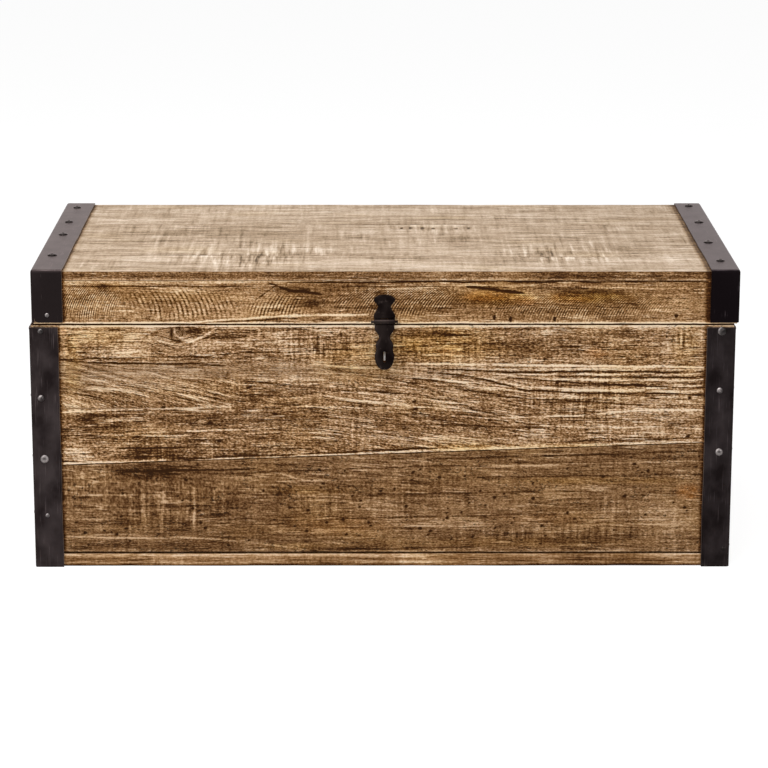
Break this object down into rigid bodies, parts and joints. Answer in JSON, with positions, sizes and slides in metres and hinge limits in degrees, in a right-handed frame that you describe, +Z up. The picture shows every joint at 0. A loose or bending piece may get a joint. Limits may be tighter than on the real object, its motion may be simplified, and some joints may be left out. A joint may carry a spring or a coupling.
{
  "type": "trunk",
  "caption": "Boarded wooden trunk with iron corner straps, a hinged lid, a forged hasp and staple at the front and a drop handle on each end.",
  "frame": {"origin": "on the floor, under the middle of the case: the middle of the bounding box's bottom, to within the few millimetres by which the hasp reaches further out than the hinges", "axes": "+X along the length, to the right for someone facing the front; -Y out of the front, where the hasp is; +Z up"},
  "size_m": [1.0288, 0.5521, 0.4395],
  "materials": {
    "case_timber": "rough-sawn, waxed",
    "lid_timber": "rough-sawn, limewashed",
    "black_steel_strip": "satin black",
    "forged_iron": "satin black",
    "nail_steel": "dull"
  },
  "bodies": {
    "case": {"back_board_lower": "case_timber", "back_board_upper": "case_timber", "back_left_corner_iron": "black_steel_strip", "back_right_corner_iron": "black_steel_strip", "bottom_board_back": "case_timber", "bottom_board_front": "case_timber", "bottom_board_middle": "case_timber", "front_board_lower": "case_timber", "front_board_upper": "case_timber", "front_left_corner_iron": "black_steel_strip", "front_left_corner_nail_1": "nail_steel", "front_left_corner_nail_2": "nail_steel", "front_left_corner_nail_3": "nail_steel", "front_left_corner_nail_4": "nail_steel", "front_right_corner_iron": "black_steel_strip", "front_right_corner_nail_1": "nail_steel", "front_right_corner_nail_2": "nail_steel", "front_right_corner_nail_3": "nail_steel", "front_right_corner_nail_4": "nail_steel", "handle_left_plate": "forged_iron", "handle_right_plate": "forged_iron", "hinge_left_case_leaf": "black_steel_strip", "hinge_left_pin": "black_steel_strip", "hinge_right_case_leaf": "black_steel_strip", "hinge_right_pin": "black_steel_strip", "left_end_board_lower": "case_timber", "left_end_board_upper": "case_timber", "right_end_board_lower": "case_timber", "right_end_board_upper": "case_timber", "staple": "forged_iron"},
    "lid": {"hasp_nail_1": "nail_steel", "hasp_nail_2": "nail_steel", "hasp_nail_3": "nail_steel", "hasp_pin": "forged_iron", "hasp_plate": "forged_iron", "hinge_left_lid_leaf": "black_steel_strip", "hinge_right_lid_leaf": "black_steel_strip", "lid_back_rail": "lid_timber", "lid_board_back": "lid_timber", "lid_board_front": "lid_timber", "lid_board_middle": "lid_timber", "lid_front_rail": "lid_timber", "lid_left_iron": "black_steel_strip", "lid_left_iron_nail_1": "nail_steel", "lid_left_iron_nail_2": "nail_steel", "lid_left_iron_nail_3": "nail_steel", "lid_left_iron_nail_4": "nail_steel", "lid_left_iron_tab_nail": "nail_steel", "lid_left_rail": "lid_timber", "lid_right_iron": "black_steel_strip", "lid_right_iron_nail_1": "nail_steel", "lid_right_iron_nail_2": "nail_steel", "lid_right_iron_nail_3": "nail_steel", "lid_right_iron_nail_4": "nail_steel", "lid_right_rail": "lid_timber"},
    "hasp": {"hasp_leaf": "forged_iron"},
    "left_handle": {"handle_left_bail": "forged_iron"},
    "right_handle": {"handle_right_bail": "forged_iron"}
  },
  "joints": [
    {"name": "lid_hinge", "type": "hinge", "parent": "case", "child": "lid", "pos_m": [0, 0.2623, 0.3585], "axis": [-1, 0, 0], "range_deg": [0, 105]},
    {"name": "hasp_hinge", "type": "hinge", "parent": "lid", "child": "hasp", "pos_m": [0.0025, -0.2618, 0.3627], "axis": [-1, 0, 0], "range_deg": [-12.4, 160]},
    {"name": "left_handle_hinge", "type": "hinge", "parent": "case", "child": "left_handle", "pos_m": [-0.508, 0, 0.215], "axis": [0, 1, 0], "range_deg": [0, 175]},
    {"name": "right_handle_hinge", "type": "hinge", "parent": "case", "child": "right_handle", "pos_m": [0.508, 0, 0.215], "axis": [0, -1, 0], "range_deg": [0, 175]}
  ]
}
